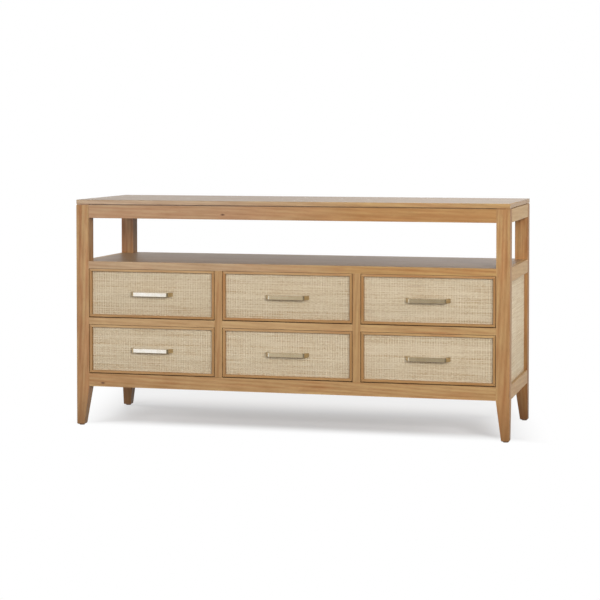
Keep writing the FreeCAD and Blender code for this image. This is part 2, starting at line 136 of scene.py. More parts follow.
# Shadow on the floor: where white starts to cover it and where it covers most, and the least share of white
FLOOR_HALF = 8
SHADOW_SLANT = 0.2
SHADOW_ENDS = (0.58, 0.86)
SHADOW_FRONT = (-0.06, -0.24)
SHADOW_BACK = (0.16, 0.52)
SHADOW_BEYOND = (0.5, 1.5)
BACK_WHITE = 0.6
LEAST_WHITE_FRONT = 0.23
LEAST_WHITE_BACK = 0.33
LEAST_WHITE_REACH = (0.04, 0.16)

# Light: the room's strength on the object, the height most lamps point at, and the mirrored card's tint
ROOM_LIGHT = 0.32
LAMP_AIM_HEIGHT = 0.45
COOL_CARD = (0.38, 0.54, 1.0)

# Camera, fitted to the photograph's edges
SENSOR_WIDE = 36
LENS = 109.264
LENS_SHIFT = -0.1736
CAMERA_PLACE = (1.5524, -6.1291, 1.0120)
CAMERA_TILT = math.radians(2)
CAMERA_TURN = 0.2505


def tint(red, green, blue):
    """A colour as it looks on screen, made the linear value that a socket takes."""
    def linear(level):
        share = level / 255
        if share <= 0.04045:
            return share / 12.92
        return ((share + 0.055) / 1.055) ** 2.4
    return (linear(red), linear(green), linear(blue), 1.0)


# Colours of the oak, each set of three from dark to light
PLAIN_OAK = (tint(152, 110, 62), tint(174, 135, 89), tint(192, 157, 105))
RED_OAK = (tint(142, 91, 50), tint(170, 118, 72), tint(192, 143, 95))
OAK_PORES = tint(108, 70, 40)
RUBBED_OAK = tint(206, 170, 126)
KNOT_BROWN = tint(84, 48, 26)
# The next colour is painted shade in the top's shadow groove
GROOVE_SHADE_BROWN = tint(112, 58, 30)
# The next two colours are painted shade down the legs, the second on the back right post
FOOT_SHADE = tint(126, 86, 46)
DEEP_FOOT_SHADE = tint(96, 54, 8)

# The most that each mark shows over the oak
PORE_SHARE = 0.45
RUBBED_SHARE = 0.4
KNOT_SHARE = 0.95
# The groove share is how much painted shade shows in the top's groove
GROOVE_SHADE_SHARE = 0.4
# These two shares are how much painted shade shows down the legs and the uprights
LEG_SHADE_SHARE = 0.6
UPRIGHT_SHADE_SHARE = 0.2

# Depth of relief, and the lacquer's roughness
OAK_RELIEF = 0.12 * MM
BOX_RELIEF = 0.08 * MM
PLYWOOD_RELIEF = 0.06 * MM
CANE_RELIEF = 0.05 * MM
GLIDE_RELIEF = 0.03 * MM
LACQUER_ROUGHNESS = 0.25

# Stains, and the brown painted shade of one post
GOLDEN_STAIN = tint(158, 112, 60)
POST_SHADE_BROWN = tint(104, 60, 10)
STRAW_STAIN = tint(230, 196, 142)
PALE_STAIN = tint(226, 196, 152)
# The grey below is laid on the shelf to paint part of its grey sheen
SHELF_SHEEN_GREY = tint(148, 140, 132)
RUSSET_STAIN = tint(177, 131, 86)

# Where a stain fades: the axis, where it is full and where it is gone
# The first fade spreads the back right post's painted shade up from its foot
POST_SHADE_FADE = ("Z", 0.1, 0.6)
FADE_DOWN = ("Z", 0.74, -0.23)
FADE_RIGHT = ("X", 0.0, 0.4)

# Painted sheen across the dresser: where it changes, and the gain on green and blue at the left and at the
# right
SHEEN_REACH = (-0.2, 0.26)
SHEEN_GREEN_GAIN = (1.10, 0.97)
SHEEN_BLUE_GAIN = (1.40, 0.86)

# Colours of the cane and the floor, and what brings the sum of the cane's tones to about a half
CANE_TONES = (tint(190, 160, 122), tint(218, 201, 171), tint(232, 219, 194))
CANE_FIBRE = tint(180, 152, 114)
CANE_DARK = tint(158, 122, 82)
CANE_BASE = -1.39
WHITE = (1, 1, 1, 1)
FLOOR_PALE = (0.935, 0.95, 0.97, 1)
FLOOR_GREY = (0.3, 0.3, 0.3, 1)

# Places of the colour sockets on a Mix node
MIX_FIRST = 6
MIX_SECOND = 7
MIX_RESULT = 2


# Node helpers

def empty_nodes(owner):
    """The node tree of a material or world, with nothing in it."""
    owner.use_nodes = True
    owner.node_tree.nodes.clear()
    return owner.node_tree


def put(tree, kind, inputs=None, **settings):
    """Add a node, set its options, and set or link its inputs."""
    node = tree.nodes.new(kind)
    for name, value in settings.items():
        setattr(node, name, value)
    for name, value in (inputs or {}).items():
        if isinstance(value, bpy.types.NodeSocket):
            tree.links.new(value, node.inputs[name])
        else:
            node.inputs[name].default_value = value
    return node


def math_node(tree, operation, first, second=0.0):
    """A sum on one or two values."""
    return put(tree, "ShaderNodeMath", {0: first, 1: second}, operation=operation).outputs[0]


def vector_node(tree, operation, first, second):
    """A sum on two vectors."""
    return put(tree, "ShaderNodeVectorMath", {0: first, 1: second}, operation=operation).outputs[0]


def object_place(tree):
    """Coordinates of the object itself."""
    return put(tree, "ShaderNodeTexCoord").outputs["Object"]


def split(tree, vector):
    """The X, Y and Z of a vector."""
    return put(tree, "ShaderNodeSeparateXYZ", {0: vector}).outputs


def stretch(tree, place, along, across):
    """Coordinates scaled along the grain and across it."""
    return vector_node(tree, "MULTIPLY", place, (along, across, across))


def noise(tree, place, along, across, detail=2.0, roughness=0.5):
    """A noise value from 0 to 1, with so many waves to the metre along the grain and across it."""
    node = put(tree, "ShaderNodeTexNoise",
               {"Vector": stretch(tree, place, along, across), "Scale": 1.0,
                "Detail": detail, "Roughness": roughness})
    return node.outputs["Fac"]


def remap(tree, value, low, high, new_low=0.0, new_high=1.0):
    """A value moved from one range to another, clamped."""
    node = put(tree, "ShaderNodeMapRange",
               {"Value": value, "From Min": low, "From Max": high, "To Min": new_low, "To Max": new_high})
    return node.outputs["Result"]


def soft_step(tree, value, start, end, most=1.0):
    """A value that eases from 0 up to its most between two places."""
    node = put(tree, "ShaderNodeMapRange",
               {"Value": value, "From Min": start, "From Max": end, "To Min": 0.0, "To Max": most},
               interpolation_type="SMOOTHSTEP")
    return node.outputs["Result"]


def about_zero(tree, value, gain):
    """A value from 0 to 1 made to lie about zero, times a gain."""
    return math_node(tree, "MULTIPLY", math_node(tree, "SUBTRACT", value, 0.5), gain)


def add_shares(tree, whole, shares):
    """A value with each part added to it by its share."""
    for part, share in shares:
        whole = math_node(tree, "ADD", whole, math_node(tree, "MULTIPLY", part, share))
    return whole


def blend(tree, share, first, second):
    """Two colours mixed by a share."""
    inputs = {"Factor": share, MIX_FIRST: first, MIX_SECOND: second}
    return put(tree, "ShaderNodeMix", inputs, data_type="RGBA").outputs[MIX_RESULT]


def mark(tree, mask, most, colour, ink):
    """A colour with another laid over it where a mask is high, at most by a share."""
    return blend(tree, math_node(tree, "MULTIPLY", mask, most), colour, ink)


def mix_shaders(tree, share, first, second):
    """Two shaders mixed by a share."""
    return put(tree, "ShaderNodeMixShader", {0: share, 1: first, 2: second}).outputs[0]


def three_tones(tree, value, dark, middle, light):
    """A colour that goes from dark to light as a value goes from 0 to 1."""
    ramp = put(tree, "ShaderNodeValToRGB", {"Fac": value})
    ramp.color_ramp.elements[0].color = dark
    ramp.color_ramp.elements[1].color = light
    ramp.color_ramp.elements.new(0.5).color = middle
    return ramp.outputs[0]


def new_group(name, inputs, outputs):
    """An empty shader group with named sockets, and its two end nodes."""
    group = bpy.data.node_groups.new(name, "ShaderNodeTree")
    for label, kind in inputs:
        group.interface.new_socket(label, in_out="INPUT", socket_type=kind)
    for label, kind in outputs:
        group.interface.new_socket(label, in_out="OUTPUT", socket_type=kind)
    return group, group.nodes.new("NodeGroupInput").outputs, group.nodes.new("NodeGroupOutput").inputs


def use_group(tree, group, inputs):
    """A shared group placed in a material."""
    return put(tree, "ShaderNodeGroup", inputs, node_tree=group).outputs


# Shared effects

def wood_grain():
    """Streaks, growth rings and pores of a board whose grain runs along X."""
    tree, given, made = new_group(
        "wood_grain",
        [("Place", "NodeSocketVector"), ("Board", "NodeSocketFloat")],
        [("Tone", "NodeSocketFloat"), ("Warmth", "NodeSocketFloat"), ("Pores", "NodeSocketFloat")])
    shift = put(tree, "ShaderNodeVectorMath", {0: BOARD_SHIFT, "Scale": given["Board"]}, operation="SCALE")
    place = vector_node(tree, "ADD", given["Place"], shift.outputs[0])
    drift = about_zero(tree, noise(tree, place, along=1.2, across=7.0, detail=1.0), GRAIN_WANDER)
    bend = put(tree, "ShaderNodeCombineXYZ", {"Y": drift, "Z": drift}).outputs[0]
    bent = vector_node(tree, "ADD", place, bend)
    broad = noise(tree, bent, along=0.5, across=48.0, detail=1.0)
    mottle = noise(tree, place, along=12.0, across=52.0)
    streaks = noise(tree, bent, along=4.5, across=150.0, roughness=0.6)
    fine = noise(tree, bent, along=6.0, across=480.0, roughness=0.6)
    ring = put(tree, "ShaderNodeTexWave",
               {"Vector": stretch(tree, bent, 0.05, 1.0), "Scale": 46.0, "Distortion": 4.0, "Detail": 2.0,
                "Detail Scale": 0.9, "Detail Roughness": 0.5},
               wave_type="BANDS", bands_direction="DIAGONAL", wave_profile="SIN").outputs["Fac"]
    shares = ((broad, 0.45), (mottle, 0.40), (streaks, 0.28), (fine, 0.30), (ring, 0.15))
    tree.links.new(remap(tree, add_shares(tree, 0.0, shares), 0.53, 1.04), made["Tone"])
    stripes = noise(tree, place, along=0.7, across=60.0, detail=1.0)
    patches = noise(tree, place, along=9.0, across=34.0)
    warmth = add_shares(tree, -0.25, ((stripes, 0.8), (patches, 0.7)))
    own = about_zero(tree, given["Board"], 0.36)
    tree.links.new(math_node(tree, "ADD", warmth, own), made["Warmth"])
    dashes = noise(tree, bent, along=48.0, across=1350.0, detail=1.0)
    tree.links.new(remap(tree, dashes, 0.60, 0.74), made["Pores"])
    return tree


def edge_wear():
    """Where an eased edge is rubbed lighter, in broken patches."""
    tree, given, made = new_group(
        "edge_wear",
        [("Place", "NodeSocketVector"), ("Edge", "NodeSocketFloat")],
        [("Rubbed", "NodeSocketFloat")])
    patches = noise(tree, given["Place"], along=26.0, across=26.0, detail=3.0, roughness=0.6)
    rubbed = math_node(tree, "MULTIPLY", given["Edge"], remap(tree, patches, 0.35, 0.65))
    tree.links.new(rubbed, made["Rubbed"])
    return tree


WOOD_GRAIN = wood_grain()
EDGE_WEAR = edge_wear()


# Materials

def new_material(name):
    """A material with an empty Principled surface."""
    material = bpy.data.materials.new(name)
    tree = empty_nodes(material)
    surface = tree.nodes.new("ShaderNodeBsdfPrincipled")
    put(tree, "ShaderNodeOutputMaterial", {"Surface": surface.outputs[0]})
    return material, tree, surface


def dress(tree, surface, colour, roughness):
    """Give a surface its colour and its roughness."""
    tree.links.new(colour, surface.inputs["Base Color"])
    tree.links.new(roughness, surface.inputs["Roughness"])


def bump(tree, surface, height, depth):
    """Relief of a given depth on a surface."""
    relief = put(tree, "ShaderNodeBump", {"Height": height, "Distance": depth, "Strength": 1.0})
    tree.links.new(relief.outputs[0], surface.inputs["Normal"])


def attribute(tree, name):
    """A value stored on the piece's own faces."""
    return put(tree, "ShaderNodeAttribute", attribute_name=name).outputs["Fac"]


def grain_place(tree, axis):
    """Object coordinates, turned so that the grain runs along X."""
    turns = {"X": (0, 0, 0), "Y": (0, 0, -QUARTER_TURN), "Z": (0, QUARTER_TURN, 0)}
    return put(tree, "ShaderNodeMapping", {"Vector": object_place(tree), "Rotation": turns[axis]}).outputs[0]


def rubbed_edges(tree, place, colour, pale):
    """A colour rubbed pale along the eased edges."""
    wear = use_group(tree, EDGE_WEAR, {"Place": place, "Edge": attribute(tree, "edge")})
    return mark(tree, wear["Rubbed"], RUBBED_SHARE, colour, pale)


def bare_oak(tree, grain):
    """Plain oak and redder oak, mixed by the board's warmth, with dark pores."""
    plain = three_tones(tree, grain["Tone"], *PLAIN_OAK)
    red = three_tones(tree, grain["Tone"], *RED_OAK)
    warm = blend(tree, remap(tree, grain["Warmth"], 0.42, 0.72, 0.0, 0.8), plain, red)
    return mark(tree, grain["Pores"], PORE_SHARE, warm, OAK_PORES)


def stained(tree, parts, colour, stain, strength, fade):
    """A colour under a stain, which is even or fades along one axis."""
    if not fade:
        return blend(tree, strength, colour, stain)
    axis, full, gone = fade
    return blend(tree, remap(tree, parts[axis], full, gone, strength, 0.0), colour, stain)


def painted_foot_shade(tree, axis, height, colour, foot_shade):
    """A colour with painted shade that darkens down the legs, and gently down the whole of an upright."""
    low = remap(tree, height, 0.0, LEG_HEIGHT, LEG_SHADE_SHARE, 0.0)
    if axis == "Z":
        gentle_shade = remap(tree, height, 0.0, SHELF_HEIGHT, UPRIGHT_SHADE_SHARE, 0.0)
        low = math_node(tree, "ADD", low, gentle_shade)
    return blend(tree, low, colour, foot_shade)


def painted_groove_shade(tree, parts, colour):
    """A colour with browner painted shade in the shadow groove, along the front and the back of the top."""
    groove = remap(tree, parts["Z"], GROOVE_HIGH, GROOVE_HIGH - GROOVE_FADE, 0.0, GROOVE_SHADE_SHARE)
    above = math_node(tree, "GREATER_THAN", parts["Z"], GROOVE_LOW)
    inward = math_node(tree, "LESS_THAN", math_node(tree, "ABSOLUTE", parts["X"]), GROOVE_END)
    return mark(tree, math_node(tree, "MULTIPLY", above, inward), groove, colour, GROOVE_SHADE_BROWN)


def knot_marks(tree, place, colour):
    """Small dark knots at their places on the rails."""
    for rail, along, up in KNOTS:
        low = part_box(rail)[0]
        offset = vector_node(tree, "SUBTRACT", place, (along, low.y, low.z + up))
        around = stretch(tree, offset, KNOT_WIDTH_TO_LENGTH, 1.0)
        reach = put(tree, "ShaderNodeVectorMath", {0: around}, operation="LENGTH").outputs["Value"]
        share = remap(tree, reach, KNOT_WIDE / 2, KNOT_WIDE / 10, 0.0, KNOT_SHARE)
        colour = blend(tree, share, colour, KNOT_BROWN)
    return colour


def painted_sheen_across(tree, across, colour):
    """A colour with a painted cool sheen at the left end of the dresser and painted warm light at the right
    end.
    """
    green = remap(tree, across, *SHEEN_REACH, *SHEEN_GREEN_GAIN)
    blue = remap(tree, across, *SHEEN_REACH, *SHEEN_BLUE_GAIN)
    gain = put(tree, "ShaderNodeCombineXYZ", {"X": 1.0, "Y": green, "Z": blue}).outputs[0]
    return vector_node(tree, "MULTIPLY", colour, gain)


def oiled_oak(name, axis, stain=None, strength=0.0, fade=None, coat=0.0, sheen_across=False, foot_shade=FOOT_SHADE):
    """Oak with an oiled, satin finish, over a stain if there is one, and painted shade darker towards the
    feet.
    """
    material, tree, surface = new_material(name)
    place = grain_place(tree, axis)
    whole_place = object_place(tree)
    parts = split(tree, whole_place)
    grain = use_group(tree, WOOD_GRAIN, {"Place": place, "Board": attribute(tree, "board")})
    colour = bare_oak(tree, grain)
    if stain:
        colour = stained(tree, parts, colour, stain, strength, fade)
    colour = rubbed_edges(tree, place, colour, RUBBED_OAK)
    # Painted shade: darker down the legs and gently down the uprights
    colour = painted_foot_shade(tree, axis, parts["Z"], colour, foot_shade)
    # Painted shade: browner in the shadow groove under the top
    colour = painted_groove_shade(tree, parts, colour)
    if axis == "X":
        colour = knot_marks(tree, whole_place, colour)
    # Painted sheen: paler and cooler at the left end, more golden at the right
    if sheen_across:
        colour = painted_sheen_across(tree, parts["X"], colour)
    dress(tree, surface, colour, remap(tree, grain["Tone"], 0.0, 1.0, 0.46, 0.38))
    surface.inputs["Coat Weight"].default_value = coat
    surface.inputs["Coat Roughness"].default_value = LACQUER_ROUGHNESS
    bump(tree, surface, math_node(tree, "SUBTRACT", grain["Tone"], grain["Pores"]), OAK_RELIEF)
    return material


def drawer_wood(axis):
    """Pale wood of the boxes and runners."""
    material, tree, surface = new_material(f"drawer_wood_{axis.lower()}")
    place = grain_place(tree, axis)
    grain = use_group(tree, WOOD_GRAIN, {"Place": place, "Board": attribute(tree, "board")})
    colour = blend(tree, grain["Tone"], tint(196, 166, 128), tint(226, 203, 168))
    colour = mark(tree, grain["Pores"], 0.3, colour, tint(160, 126, 88))
    colour = rubbed_edges(tree, place, colour, tint(234, 216, 186))
    dress(tree, surface, colour, remap(tree, grain["Tone"], 0.0, 1.0, 0.62, 0.5))
    bump(tree, surface, grain["Tone"], BOX_RELIEF)
    return material


def plywood():
    """Veneered panels inside and at the back."""
    material, tree, surface = new_material("plywood")
    grain = use_group(tree, WOOD_GRAIN, {"Place": grain_place(tree, "X"), "Board": PLYWOOD_BOARD})
    colour = blend(tree, grain["Tone"], tint(178, 140, 101), tint(206, 172, 132))
    colour = mark(tree, grain["Pores"], 0.35, colour, tint(128, 92, 60))
    dress(tree, surface, colour, remap(tree, grain["Tone"], 0.0, 1.0, 0.66, 0.52))
    bump(tree, surface, grain["Tone"], PLYWOOD_RELIEF)
    return material


def cane(axis):
    """Split cane: each strand has its own tone, with fine fibres along it and dark marks here and there."""
    material, tree, surface = new_material(f"cane_{axis.lower()}")
    place = grain_place(tree, axis)
    fibre = noise(tree, place, along=40.0, across=2600.0, roughness=0.6)
    cloud = noise(tree, place, along=7.0, across=400.0)
    speck = noise(tree, place, along=90.0, across=400.0, detail=1.0)
    # Painted rib shade: darker between the stakes and lighter at them, more in some patches
    rib_shade_gain = remap(tree, noise(tree, place, along=11.0, across=11.0, detail=1.0), 0.4, 0.6, 0.1, 0.55)
    dark = noise(tree, place, along=6.0, across=330.0, detail=1.0)
    tone = math_node(tree, "ADD", attribute(tree, "tone"), CANE_BASE)
    tone = add_shares(tree, tone, ((cloud, 1.8), (speck, 1.1), (attribute(tree, "rib_shade"), rib_shade_gain)))
    colour = three_tones(tree, tone, *CANE_TONES)
    colour = blend(tree, remap(tree, fibre, 0.35, 0.8, 0.0, 0.35), colour, CANE_FIBRE)
    colour = blend(tree, remap(tree, dark, 0.68, 0.78, 0.0, 0.5), colour, CANE_DARK)
    dress(tree, surface, colour, remap(tree, fibre, 0.3, 0.7, 0.42, 0.6))
    bump(tree, surface, fibre, CANE_RELIEF)
    return material


def satin_brass():
    """Brushed and lacquered brass of the pulls."""
    material, tree, surface = new_material("satin_brass")
    place = object_place(tree)
    brushed = noise(tree, place, along=30.0, across=2400.0, roughness=0.6)
    tarnish = noise(tree, place, along=60.0, across=60.0, detail=3.0, roughness=0.6)
    colour = blend(tree, remap(tree, tarnish, 0.35, 0.75), tint(208, 190, 156), tint(198, 177, 140))
    dress(tree, surface, colour, remap(tree, brushed, 0.3, 0.7, 0.15, 0.20))
    surface.inputs["Metallic"].default_value = 1.0
    return material


def zinc_steel():
    """Plated screws."""
    material, tree, surface = new_material("zinc_steel")
    cloud = noise(tree, object_place(tree), along=300.0, across=300.0)
    colour = blend(tree, cloud, tint(168, 170, 172), tint(204, 205, 206))
    dress(tree, surface, colour, remap(tree, cloud, 0.3, 0.7, 0.25, 0.4))
    surface.inputs["Metallic"].default_value = 1.0
    return material


def glide_plastic():
    """Brown moulded glides under the feet."""
    material, tree, surface = new_material("glide_plastic")
    speckle = noise(tree, object_place(tree), along=900.0, across=900.0, roughness=0.6)
    colour = blend(tree, speckle, tint(92, 64, 42), tint(116, 84, 56))
    dress(tree, surface, colour, remap(tree, speckle, 0.3, 0.7, 0.5, 0.7))
    bump(tree, surface, speckle, GLIDE_RELIEF)
    return material


OAK = {axis: oiled_oak(f"oiled_oak_{axis.lower()}", axis) for axis in "XZ"}
OAK_BAR = {axis: oiled_oak(f"golden_oak_{axis.lower()}", axis, GOLDEN_STAIN, 0.4) for axis in "XZ"}
# Painted shade on the back right post, brown and darker towards its foot
OAK_SHADED_POST = oiled_oak("shaded_post_oak_z", "Z", POST_SHADE_BROWN, 0.35, fade=POST_SHADE_FADE, foot_shade=DEEP_FOOT_SHADE)
OAK_SIDE = oiled_oak("golden_oak_y", "Y", STRAW_STAIN, 0.45, fade=FADE_DOWN)
# The next boards get painted sheen across the dresser where asked
OAK_TOP = oiled_oak("lacquered_oak_top", "X", PALE_STAIN, 0.12, coat=0.5, sheen_across=True)
# The shelf's grey paints part of its sheen
OAK_SHELF = oiled_oak("lacquered_oak_shelf", "X", SHELF_SHEEN_GREY, 0.3, coat=0.13)
# Pale oak for the cross rails; on the drawers' upper bars it is painted light from above
OAK_PALE_AND_TOP_LIT = oiled_oak("pale_oak_and_top_bar_light", "X", PALE_STAIN, 0.14, fade=FADE_RIGHT)
OAK_RUSSET_SHEENED = oiled_oak("russet_oak_painted_sheen", "X", RUSSET_STAIN, 0.35, sheen_across=True)
OAK_PALE = oiled_oak("pale_oak", "X", PALE_STAIN, 0.1, fade=FADE_RIGHT, sheen_across=True)
CANE = {axis: cane(axis) for axis in "XY"}
BOX_WOOD = {axis: drawer_wood(axis) for axis in "XY"}
PLYWOOD = plywood()
BRASS = satin_brass()
STEEL = zinc_steel()
PLASTIC = glide_plastic()


# Pieces

def finish_piece(name, bm, materials, body, node):
    """Turn a bmesh into a piece that rides on a body and stands for a node."""
    mesh = bpy.data.meshes.new(name)
    bm.to_mesh(mesh)
    bm.free()
    for material in materials:
        mesh.materials.append(material)
    piece = bpy.data.objects.new(name, mesh)
    bpy.context.scene.collection.objects.link(piece)
    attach(piece, body)
    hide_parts(node)


def merged_copy(node):
    """A copy of a node with its loose triangles joined into flat faces."""
    bm = bmesh.new()
    bm.from_mesh(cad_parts[node].data)
    bmesh.ops.remove_doubles(bm, verts=bm.verts, dist=MERGE)
    bmesh.ops.dissolve_limit(bm, angle_limit=FLAT, verts=bm.verts, edges=bm.edges)
    return bm


def round_edges(bm, edges, ease):
    """Ease edges and mark the new faces as edge."""
    edge_mark = bm.faces.layers.float.new("edge")
    made = bmesh.ops.bevel(bm, geom=edges, offset=ease, offset_type="OFFSET", segments=EASE_STEPS,
                           profile=0.5, affect="EDGES", clamp_overlap=True, material=-1)
    for face in made["faces"]:
        face[edge_mark] = 1.0


def number_board(bm, draw, limits):
    """Give every face of a board the same number, drawn between two limits."""
    number = bm.faces.layers.float.new("board")
    value = draw.uniform(*limits)
    for face in bm.faces:
        face[number] = value


def eased_board(node, material, draw, limits):
    """A board of the carcass with its sharp outer edges eased."""
    bm = merged_copy(node)
    edges = [edge for edge in bm.edges
             if edge.is_convex and edge.calc_face_angle() > SHARP and edge.calc_length() > SHORTEST_EASED]
    round_edges(bm, edges, BOARD_EASE)
    number_board(bm, draw, limits)
    finish_piece(f"{node}_eased", bm, [material], "carcass", node)


def mitred_bar(length, wide, deep):
    """A bar along X with mitred ends, its outer edge on Z 0 and its front on Y 0."""
    bm = bmesh.new()
    bmesh.ops.create_cube(bm, size=1)
    bmesh.ops.scale(bm, vec=(length, deep, wide), verts=bm.verts)
    bmesh.ops.translate(bm, vec=(0, deep / 2, wide / 2), verts=bm.verts)
    inner = [vert for vert in bm.verts if vert.co.z > wide / 2]
    bmesh.ops.scale(bm, vec=((length - 2 * wide) / length, 1, 1), verts=inner)
    round_edges(bm, list(bm.edges), BAR_EASE)
    return bm


def add_bar(frame_bm, bar, place, wood):
    """Put a finished bar into the drawer frame, with the number of its wood."""
    bmesh.ops.transform(bar, matrix=place, verts=bar.verts)
    for face in bar.faces:
        face.material_index = wood
    mesh = bpy.data.meshes.new("bar")
    bar.to_mesh(mesh)
    bar.free()
    frame_bm.from_mesh(mesh)
    bpy.data.meshes.remove(mesh)


def front_frame(drawer, draw):
    """The four mitred bars of a drawer front."""
    low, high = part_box(f"{drawer}_frame")
    wide, deep, tall = high - low
    middle = (low + high) / 2
    bars = [
        (LOWER_BAR, wide, Vector((middle.x, low.y, low.z)), 0),
        (UPPER_BAR, wide, Vector((middle.x, low.y, high.z)), HALF_TURN),
        (SIDE_BAR, tall, Vector((low.x, low.y, middle.z)), QUARTER_TURN),
        (SIDE_BAR, tall, Vector((high.x, low.y, middle.z)), -QUARTER_TURN),
    ]
    bm = bmesh.new()
    for wood, length, place, turn in bars:
        bar = mitred_bar(length, BAR_WIDE, deep)
        number_board(bar, draw, PLAIN_BOARD)
        add_bar(bm, bar, Matrix.Translation(place) @ Matrix.Rotation(turn, 4, "Y"), wood)
    # The upper bar's paler oak is painted light from above
    woods = [OAK_BAR["X"], OAK_BAR["Z"], OAK_PALE_AND_TOP_LIT]
    finish_piece(f"{drawer}_front_bars", bm, woods, f"{drawer}_drawer", f"{drawer}_frame")


def straight_strand(length, thick, tall, steps):
    """A flat strand along X, narrower at the front, in a number of steps."""
    bm = bmesh.new()
    bmesh.ops.create_cube(bm, size=1)
    bmesh.ops.scale(bm, vec=(length, thick, tall), verts=bm.verts)
    bmesh.ops.scale(bm, vec=(1, 1, STRAND_CROWN), verts=[vert for vert in bm.verts if vert.co.y < 0])
    lengthwise = [edge for edge in bm.edges if edge.calc_length() > length / 2]
    if steps > 1:
        bmesh.ops.subdivide_edges(bm, edges=lengthwise, cuts=steps - 1, use_grid_fill=True)
    for face in bm.faces:
        face.smooth = True
    mesh = bpy.data.meshes.new("strand")
    bm.to_mesh(mesh)
    bm.free()
    return mesh


def add_strand(bm, strand):
    """Add a copy of a strand, and return its vertices and faces."""
    first_vert = len(bm.verts)
    first_face = len(bm.faces)
    bm.from_mesh(strand)
    bm.verts.ensure_lookup_table()
    bm.faces.ensure_lookup_table()
    return bm.verts[first_vert:], bm.faces[first_face:]


def lay_stakes(bm, tone, width, tall, stakes, draw):
    """Upright stakes side by side, each with its own tone."""
    pitch = width / stakes
    strand = straight_strand(tall, STAKE_THICK, STAKE_WIDE, 1)
    upright = Matrix.Rotation(QUARTER_TURN, 4, "Y")
    for column in range(stakes):
        verts, faces = add_strand(bm, strand)
        across = (column + 0.5) * pitch - width / 2
        bmesh.ops.transform(bm, matrix=Matrix.Translation((across, 0, 0)) @ upright, verts=verts)
        shade = draw.gauss(*STAKE_TONE)
        for face in faces:
            face[tone] = shade
    bpy.data.meshes.remove(strand)


def swing_at(across, width, pitch):
    """How a weft swings at a place across the panel: 1 or -1 at each stake, 0 between two."""
    stakes_passed = (across + width / 2) / pitch - 0.5
    return math.cos(math.pi * stakes_passed)


def lay_wefts(bm, tone, width, tall, stakes, draw):
    """Rows of weft that pass in front of and behind the stakes, each with its own tone and painted rib
    shade.
    """
    rib_shade = bm.faces.layers.float.new("rib_shade")
    pitch = width / stakes
    rows = round(tall / WEFT_PITCH)
    row_pitch = tall / rows
    strand = straight_strand(width, WEFT_THICK, row_pitch, stakes * STEPS_PER_STAKE)
    for row in range(rows):
        verts, faces = add_strand(bm, strand)
        up = (row + 0.5) * row_pitch - tall / 2
        side = 1 if row % 2 else -1
        shade = draw.gauss(*WEFT_TONE)
        for face in faces:
            face[tone] = shade
            # Painted shade between the stakes and painted light at them, by how far the weft swings there
            face[rib_shade] = abs(swing_at(face.calc_center_median().x, width, pitch)) - 0.5
        for vert in verts:
            vert.co.y += side * WEFT_SWING * swing_at(vert.co.x, width, pitch)
            vert.co.z += up
    bpy.data.meshes.remove(strand)


def weave_panel(name, node, body, turn, draw):
    """A woven panel in the place of its flat sheet, turned to face the front or an end."""
    low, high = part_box(node)
    size = high - low
    width = max(size.x, size.y)
    stakes = round(width / STAKE_PITCH)
    bm = bmesh.new()
    tone = bm.faces.layers.float.new("tone")
    lay_stakes(bm, tone, width, size.z, stakes, draw)
    lay_wefts(bm, tone, width, size.z, stakes, draw)
    place = Matrix.Translation((low + high) / 2) @ Matrix.Rotation(turn, 4, "Z")
    bmesh.ops.transform(bm, matrix=place, verts=bm.verts)
    axis = "Y" if turn else "X"
    finish_piece(name, bm, [CANE[axis]], body, node)


def box_board(centre, low, high):
    """Which board of a drawer box a place belongs to."""
    if centre.y < low.y + BOX_FRONT + MERGE:
        return "front"
    if centre.x < low.x + BOX_SIDE + MERGE:
        return "left"
    if centre.x > high.x - BOX_SIDE - MERGE:
        return "right"
    return "back"


def drawer_box(drawer, draw):
    """The boards of a drawer box, with the grain along each board and the top edges eased."""
    node = f"{drawer}_box"
    low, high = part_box(node)
    bm = merged_copy(node)
    edges = [edge for edge in bm.edges
             if edge.is_manifold and edge.is_convex and edge.calc_length() > SHORTEST_EASED
             and min(vert.co.z for vert in edge.verts) > high.z - BOX_TOP_BAND]
    round_edges(bm, edges, BOX_EASE)
    number = bm.faces.layers.float.new("board")
    values = {board: draw.uniform(*BOX_BOARD) for board in ("front", "left", "right", "back")}
    for face in bm.faces:
        board = box_board(face.calc_center_median(), low, high)
        face[number] = values[board]
        face.material_index = BOX_DEEP if board in ("left", "right") else BOX_ACROSS
    woods = [BOX_WOOD["X"], BOX_WOOD["Y"]]
    finish_piece(f"{drawer}_box_boards", bm, woods, f"{drawer}_drawer", node)


def dress_node(node, material):
    """Give a node that keeps its own shape a finished material."""
    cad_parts[node].material_slots[0].material = material


